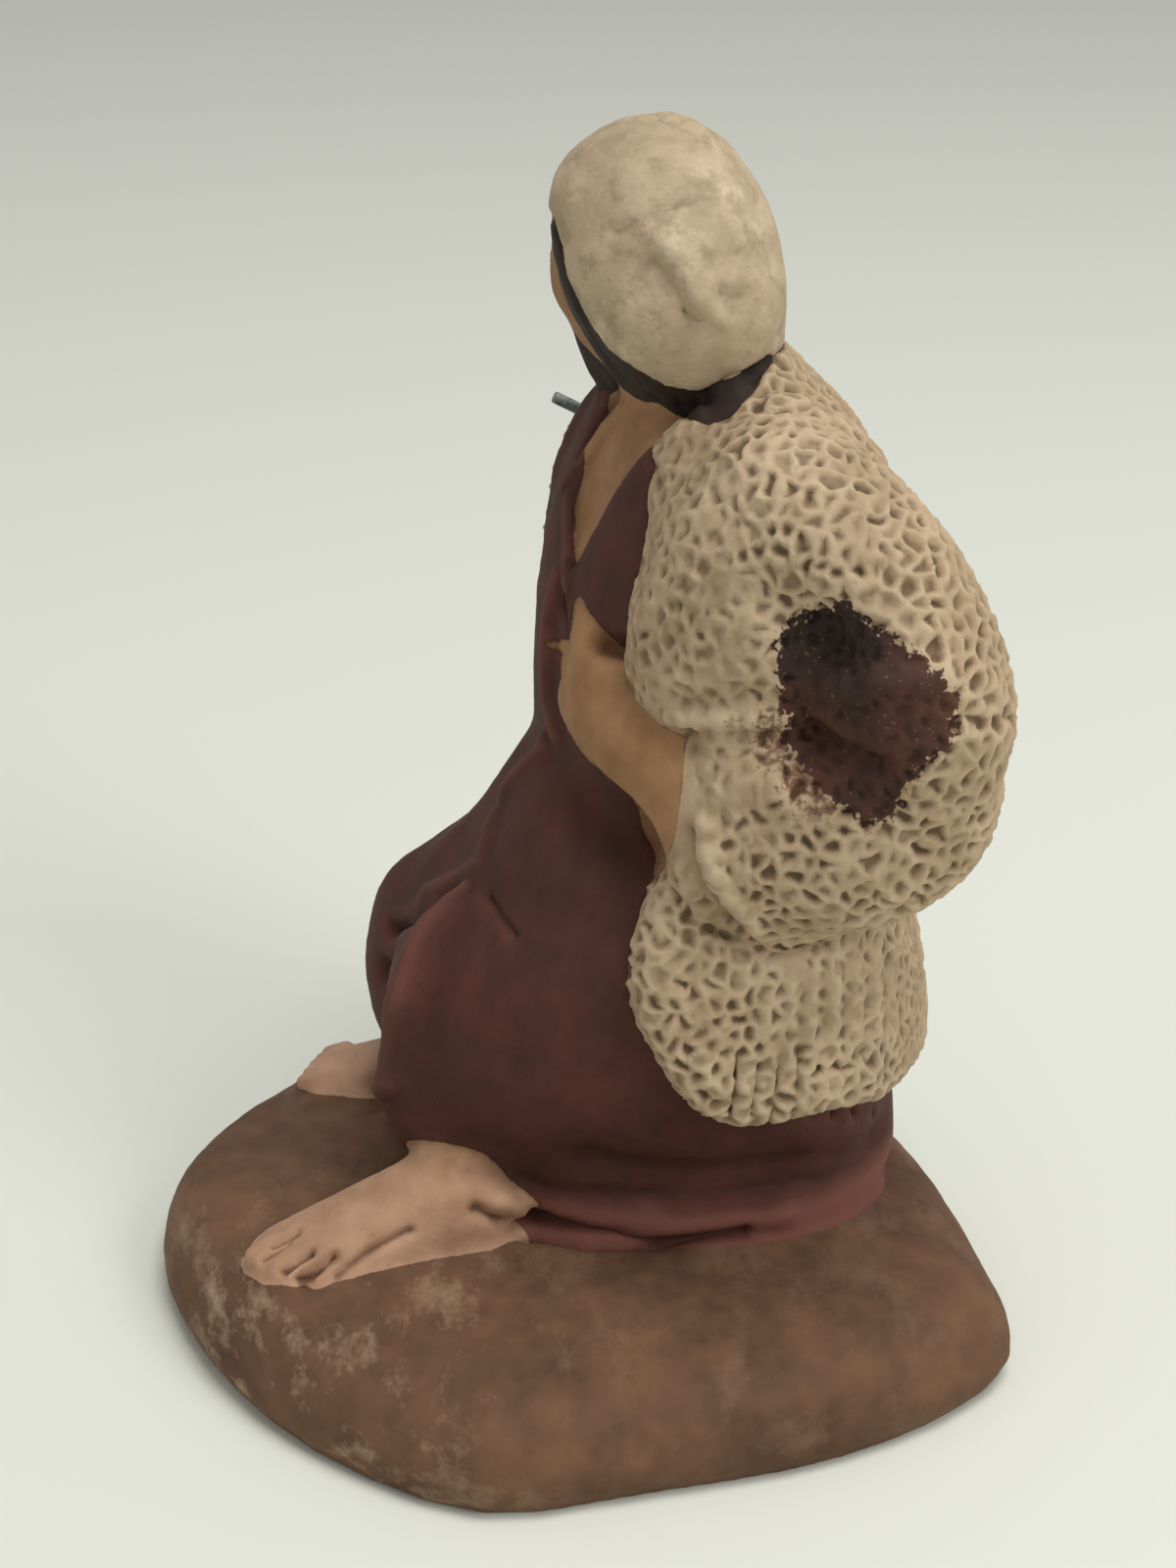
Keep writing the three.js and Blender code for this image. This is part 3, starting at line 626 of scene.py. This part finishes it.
# the dark patch on the near sleeve and the spatter beside it, in photograph pixels
sleevePatch = dict(
    patch=[(795, 655), (806, 634), (835, 622), (865, 616), (897, 640), (938, 668), (966, 690), (978, 722),
             (966, 760), (940, 785), (925, 800), (915, 830), (885, 842), (850, 820), (822, 786), (798, 765),
             (803, 725), (795, 690)],
    fringe=[(758, 735), (800, 728), (840, 745), (880, 842), (830, 845), (790, 800)])


def onNearSide(spots, normals):
    return np.where((normals[:, 0] > -0.2) & (spots[:, 0] > -6), 0, -9)


# the clay's own unevenness: waves by height, size and seed, raised edges, and the strands of the hair
surface = dict(waves=[(0.16, 5.5, 4), (0.06, 2.2, 5), (0.03, 0.7, 6)], capLip=0.3, tunicLip=0.2,
               strandHeight=0.2, strandSize=(0.7, 0.7, 4))


def makeShepherd():
    thing = withSmallForms(blankFigure())
    spots = spotsOf(thing.data)
    edges = edgesOf(thing.data)
    print("blank", len(spots), "points")
    regions = regionsOf(spots)
    pixels = toPhoto(spots)
    spots = carveMarks(thing, spots, edges)
    print("tool marks pressed")
    normals = relaxed(outwards(thing.data), edges, 2)
    pit = woolPits(spots, regions["fleece"], pixels)
    print("wool carved")
    ribbed = ramp(outlineInside(pixels, wool["ribOutline"]), -20, 25) * ramp(spots[:, 0], 0, 2)
    pit *= 1 - 0.5 * ribbed
    pit *= 1 - 0.55 * ramp(outlineInside(pixels, sleevePatch["patch"]), 0, 30)
    turns = (spots[:, 1] - wool["ribStart"]) / wool["ribPeriod"]
    ribs = np.cos(2 * math.pi * turns) * wool["ribHeight"] * ribbed
    byCuff = ramp(limbInside(spots, "leftForearm"), -1.8, -0.4)
    edge = ramp(regions["fleece"], -0.05, 0.3)
    edge *= 1 - byCuff * (1 - ramp(spots[:, 1], cuff["near"], cuff["softUntil"]))
    lift = edge * (wool["lip"] - wool["depth"] * pit + ribs + wool["rough"] * cellNoise(spots, 0.62, 9))
    for height, size, seed in surface["waves"]:
        lift += height * cellNoise(spots, size, seed)
    lift += surface["capLip"] * ramp(regions["cap"], -0.05, 0.25)
    lift += surface["tunicLip"] * ramp(regions["tunic"], -0.05, 0.25)
    strands = cellNoise((spots - np.array(head["middle"])) @ leanAxes, surface["strandSize"], 7)
    lift += surface["strandHeight"] * strands * ramp(regions["hair"], 0, 0.4)
    lift *= ramp(spots[:, 2], 0.3, 1.5)
    spots += normals * lift[:, None]
    setSpots(thing.data, spots)
    hollow = ((relaxed(spots, edges, 14) - spots) * outwards(thing.data)).sum(1)
    for name, values in regions.items():
        if name != "tunic":
            addValues(thing.data, name, values)
    addValues(thing.data, "pit", pit)
    addValues(thing.data, "hollow", hollow)
    near = onNearSide(spots, normals)
    for name, outline in sleevePatch.items():
        addValues(thing.data, name, outlineInside(toPhoto(spots), outline) / pixelsEach + near)
    thin = thing.modifiers.new("thin", "DECIMATE")
    thin.ratio = min(1, carving["faces"] / (2 * len(thing.data.polygons)))
    finished(thing)
    thing.data.polygons.foreach_set("use_smooth", [True] * len(thing.data.polygons))
    print("figure", len(thing.data.polygons), "faces")
    return thing


# Shading
class Strand:
    # wraps a socket so that sums on it add Math nodes
    def __init__(self, recipe, socket):
        self.recipe, self.socket = recipe, socket

    def maths(self, operation, *others, clamp=False):
        return self.recipe.node("ShaderNodeMath", dict(operation=operation, use_clamp=clamp),
                                {n: other for n, other in enumerate((self,) + others)})

    def __add__(self, other):
        return self.maths("ADD", other)

    def __radd__(self, other):
        return self.maths("ADD", other)

    def __sub__(self, other):
        return self.maths("SUBTRACT", other)

    def __rsub__(self, other):
        return (self * -1).maths("ADD", other)

    def __mul__(self, other):
        return self.maths("MULTIPLY", other)

    def __rmul__(self, other):
        return self.maths("MULTIPLY", other)

    def between(self, low, high):
        return ((self - low) * (1 / (high - low))).maths("ADD", 0, clamp=True)


class Recipe:
    def __init__(self, name):
        self.material = bpy.data.materials.new(name)
        self.material.use_nodes = True
        self.tree = self.material.node_tree
        self.shader = self.tree.nodes["Principled BSDF"]

    def node(self, kind, settings=None, sockets=None, output=0):
        thing = self.tree.nodes.new(kind)
        for name, value in (settings or {}).items():
            setattr(thing, name, value)
        for name, value in (sockets or {}).items():
            self.feed(thing.inputs[name], value)
        return Strand(self, thing.outputs[output])

    def feed(self, socket, value):
        if isinstance(value, Strand):
            self.tree.links.new(value.socket, socket)
        else:
            socket.default_value = value

    def place(self, size=1):
        spot = self.node("ShaderNodeTexCoord", output="Object")
        return self.node("ShaderNodeVectorMath", dict(operation="SCALE"), {0: spot, "Scale": 1000 / size})

    def noise(self, size, detail=3, roughness=0.55, stretch=None):
        spot = self.place(size)
        if stretch:
            spot = self.node("ShaderNodeVectorMath", dict(operation="MULTIPLY"), {0: spot, 1: stretch})
        return self.node("ShaderNodeTexNoise", None,
                         dict(Vector=spot, Scale=1.0, Detail=detail, Roughness=roughness))

    def apart(self, spot, stretch=(1, 1, 1)):
        # millimetres from a place on the figure
        offset = self.node("ShaderNodeVectorMath", dict(operation="SUBTRACT"),
                          {0: self.place(), 1: tuple(inFrame(spot) / millimetre)})
        scaled = self.node("ShaderNodeVectorMath", dict(operation="MULTIPLY"), {0: offset, 1: stretch})
        return self.node("ShaderNodeVectorMath", dict(operation="LENGTH"), {0: scaled}, output="Value")

    def height(self):
        return self.node("ShaderNodeSeparateXYZ", None, {0: self.place()}, output="Z")

    def field(self, name):
        return self.node("ShaderNodeAttribute", dict(attribute_name=name), output="Fac")

    def blend(self, share, below, above, how="MIX"):
        return self.node("ShaderNodeMix", dict(data_type="RGBA", blend_type=how),
                         {0: share, 6: below, 7: above}, output=2)


def shade(hexColour):
    values = [int(hexColour[n:n + 2], 16) / 255 for n in (0, 2, 4)]
    return tuple(v / 12.92 if v <= 0.04045 else ((v + 0.055) / 1.055) ** 2.4 for v in values) + (1,)


# each paint where it is lightest and where it is darkest
paints = dict(
    tunic=("573027", "40261e"), fleece=("bda587", "9b8264"), skin=("ab825f", "85623f"),
    feet=("bc967b", "9f7a5e"),
    cap=("c8b498", "a79375"), hair=("352820", "241a14"), ground=("72533c", "553c2a"),
    patch=("5c392b", "3a2620"))
hemTop = 12


def paintedClay():
    recipe = Recipe("painted clay")
    broad, middling, fine = recipe.noise(9, 4), recipe.noise(2.2, 4), recipe.noise(0.5, 3)
    specks = recipe.noise(0.33, 2, 0.4)
    ragged = (fine - 0.5) * 0.35 + (middling - 0.5) * 0.5
    pit, hollow, height = recipe.field("pit"), recipe.field("hollow"), recipe.height()

    def paint(name):
        light, dark = (shade(value) for value in paints[name])
        return recipe.blend((broad * 0.6 + middling * 0.4).between(0.35, 0.65), dark, light)

    def tunic():
        hem = (height + (middling - 0.5) * 2).between(hemTop, hemTop - 1.6)
        layer = recipe.blend(hem * 0.75, paint("tunic"), shade("7c4d40"))
        # painted highlight, with some rubbed wear: the tunic is lighter where the clay is raised
        layer = recipe.blend((hollow * -1).between(0.02, 0.16) * 0.4, layer, shade("7a4f44"))
        return recipe.blend(specks.between(0.79, 0.82) * 0.35, layer, shade("a5826c"))

    def fleece():
        stained = recipe.noise(6, 5, 0.6).between(0.5, 0.7) * 0.45
        layer = recipe.blend(stained, paint("fleece"), shade("83704f"))
        # darker within a few millimetres of a point on the collar at the top of the near shoulder
        darkNearShoulder = (recipe.apart((-2, 9, 70)) + (middling - 0.5) * 6).between(6, 2)
        layer = recipe.blend(darkNearShoulder * 0.5, layer, shade("7a5f44"))
        # painted shade: the wool is darker down in its pits
        layer = recipe.blend(pit.between(0.2, 0.9) * 0.6, layer, shade("7d6749"))
        # painted highlight on the raised walls between the wool's pits
        return recipe.blend((hollow * -1).between(0.02, 0.2) * 0.4, layer, shade("d0bd9f"))

    def skin():
        low = height.between(18, 14)
        layer = recipe.blend(low, paint("skin"), paint("feet"))
        return recipe.blend((specks + broad * 0.1).between(0.74, 0.84) * 0.4, layer, shade("6a4a34"))

    def cap():
        grime = (recipe.noise(1.6, 5, 0.7) + broad * 0.4).between(0.7, 0.86) * 0.5
        layer = recipe.blend(grime, paint("cap"), shade("877458"))
        worn = (recipe.noise(3, 5, 0.7, (1, 0.5, 1.2)) + broad * 0.3).between(0.62, 0.74) * 0.35
        layer = recipe.blend(worn, layer, shade("8d7b5f"))
        return recipe.blend(specks.between(0.74, 0.8) * 0.6, layer, shade("4c3d2c"))

    def ground():
        rub = (recipe.noise(5, 5, 0.65, (0.5, 1, 1.4)) + fine * 0.15).between(0.6, 0.76)
        front = recipe.apart((14, -24, 3), (0.6, 0.5, 1)).between(13, 5)
        layer = recipe.blend(rub * (front * 0.7 + 0.14), paint("ground"), shade("a98f74"))
        layer = recipe.blend((recipe.noise(1.1, 5, 0.7)).between(0.62, 0.75) * 0.3, layer, shade("4c3424"))
        return recipe.blend(specks.between(0.78, 0.82) * 0.5, layer, shade("b39c80"))

    layers = dict(ground=ground, fleece=fleece, skin=skin, hair=lambda: paint("hair"), cap=cap)
    colour = tunic()
    for name, layer in layers.items():
        wobble = 0.3 if name in ("cap", "hair") else 0.5
        share = (recipe.field(name) + ragged * wobble).between(-0.06, 0.06)
        colour = recipe.blend(share, colour, layer())
    onFleece = recipe.field("fleece").between(0, 0.1)
    washed = recipe.field("fringe") * 0.35 + (fine - 0.5) * 3 + (middling - 0.5) * 2 + pit * 0.5
    colour = recipe.blend(washed.between(0.1, 0.6) * onFleece * 0.8, colour, shade("6b4433"))
    soaked = recipe.field("patch") + (fine - 0.5) * 2.8 + (middling - 0.5) * 1.6 + pit * 0.3
    # painted shadow: the patch turns near-black towards the deep hollow at the crook of the near arm; further
    # out it is the patch's own brown, with paler specks
    deep = (recipe.apart((10, 15, 60), (0.6, 1, 1)) + (middling - 0.5) * 4).between(3, 8)
    bare = specks.between(0.66, 0.74) * 0.5
    patchAndShadow = recipe.blend(bare, recipe.blend(deep, shade("33251f"), paint("patch")), shade("8a6651"))
    colour = recipe.blend(soaked.between(-0.05, 0.12) * onFleece, colour, patchAndShadow)
    # painted shade: the colour is darkened in hollows and grooves, by how far the surface lies below its
    # smoothed self
    colour = recipe.blend(hollow.between(0.02, 0.18) * 0.6, colour, shade("6f5f55"), "MULTIPLY")
    for spot, _ in small["eyes"]:
        middle = inFace(spot[0], spot[1] - 1.1, spot[2])
        colour = recipe.blend(recipe.apart(middle, (1, 1, 1.6)).between(0.68, 0.56), colour, shade("a8957c"))
        colour = recipe.blend(recipe.apart(middle).between(0.36, 0.3), colour, shade("2a1d17"))
    recipe.feed(recipe.shader.inputs["Base Color"], colour)
    recipe.feed(recipe.shader.inputs["Roughness"], 0.66 + middling * 0.2)
    recipe.shader.inputs["Specular IOR Level"].default_value = 0.25
    bump = recipe.node("ShaderNodeBump", None,
                       dict(Height=fine + middling * 0.8, Strength=0.5, Distance=0.0001))
    recipe.feed(recipe.shader.inputs["Normal"], bump)
    return recipe.material


shepherd = makeShepherd()
shepherd.data.materials.clear()
shepherd.data.materials.append(paintedClay())
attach(shepherd, "root")
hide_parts("figure")

# The rod in the far fist
rod = dict(tip=(-28, -2.7, 65.2), foot=(-27.8, 5.2, 61.3), radius=0.47)


def makeRod():
    tip, foot = inFrame(rod["tip"]), inFrame(rod["foot"])
    bm = bmesh.new()
    bmesh.ops.create_cone(bm, cap_ends=True, segments=24, radius1=rod["radius"] * millimetre,
                          radius2=rod["radius"] * millimetre, depth=(tip - foot).length)
    rims = [edge for edge in bm.edges if len({round(v.co.z, 6) for v in edge.verts}) == 1]
    bmesh.ops.bevel(bm, geom=rims, offset=0.18 * millimetre, segments=3, profile=0.5, affect="EDGES",
                    material=-1)
    turn = (tip - foot).to_track_quat("Z", "Y").to_matrix().to_4x4()
    bmesh.ops.transform(bm, matrix=Matrix.Translation((tip + foot) / 2) @ turn, verts=bm.verts)
    return clayOf("rod", meshOf(bm, "rod"))


def dullMetal():
    recipe = Recipe("dull grey-green metal")
    colour = recipe.blend(recipe.noise(1.2, 4).between(0.4, 0.62), shade("38403c"), shade("8b918a"))
    recipe.feed(recipe.shader.inputs["Base Color"], colour)
    recipe.shader.inputs["Metallic"].default_value = 0.3
    recipe.shader.inputs["Roughness"].default_value = 0.6
    return recipe.material


stickPiece = makeRod()
stickPiece.data.materials.append(dullMetal())
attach(stickPiece, "root")
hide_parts("stick")
print("rod made")


# The stage: a pale floor, an even pale surround and two soft lamps
def makeFloor():
    bm = bmesh.new()
    bmesh.ops.create_grid(bm, x_segments=2, y_segments=2, size=6)
    thing = clayOf("floor", meshOf(bm, "floor"))
    recipe = Recipe("pale floor")
    recipe.shader.inputs["Base Color"].default_value = (0.735, 0.75, 0.665, 1)
    recipe.shader.inputs["Roughness"].default_value = 0.9
    thing.data.materials.append(recipe.material)


def lamp(name, spot, size, power):
    data = bpy.data.lights.new(name, "AREA")
    data.shape = "DISK"
    data.size = size
    data.energy = power
    thing = bpy.data.objects.new(name, data)
    bpy.context.scene.collection.objects.link(thing)
    thing.location = spot
    thing.rotation_mode = "QUATERNION"
    thing.rotation_quaternion = (Vector((0, 0, 0.04)) - Vector(spot)).to_track_quat("-Z", "Y")


makeFloor()
lamp("ceiling", (0.1, 0.12, 0.75), 0.4, 2.75)
lamp("window", (0.32, 0.42, 0.42), 0.3, 1.35)
world = bpy.data.worlds.new("room")
world.use_nodes = True
world.node_tree.nodes["Background"].inputs[0].default_value = (1, 1, 1, 1)
world.node_tree.nodes["Background"].inputs[1].default_value = 0.48
bpy.context.scene.world = world
bpy.context.scene.view_settings.view_transform = "Standard"
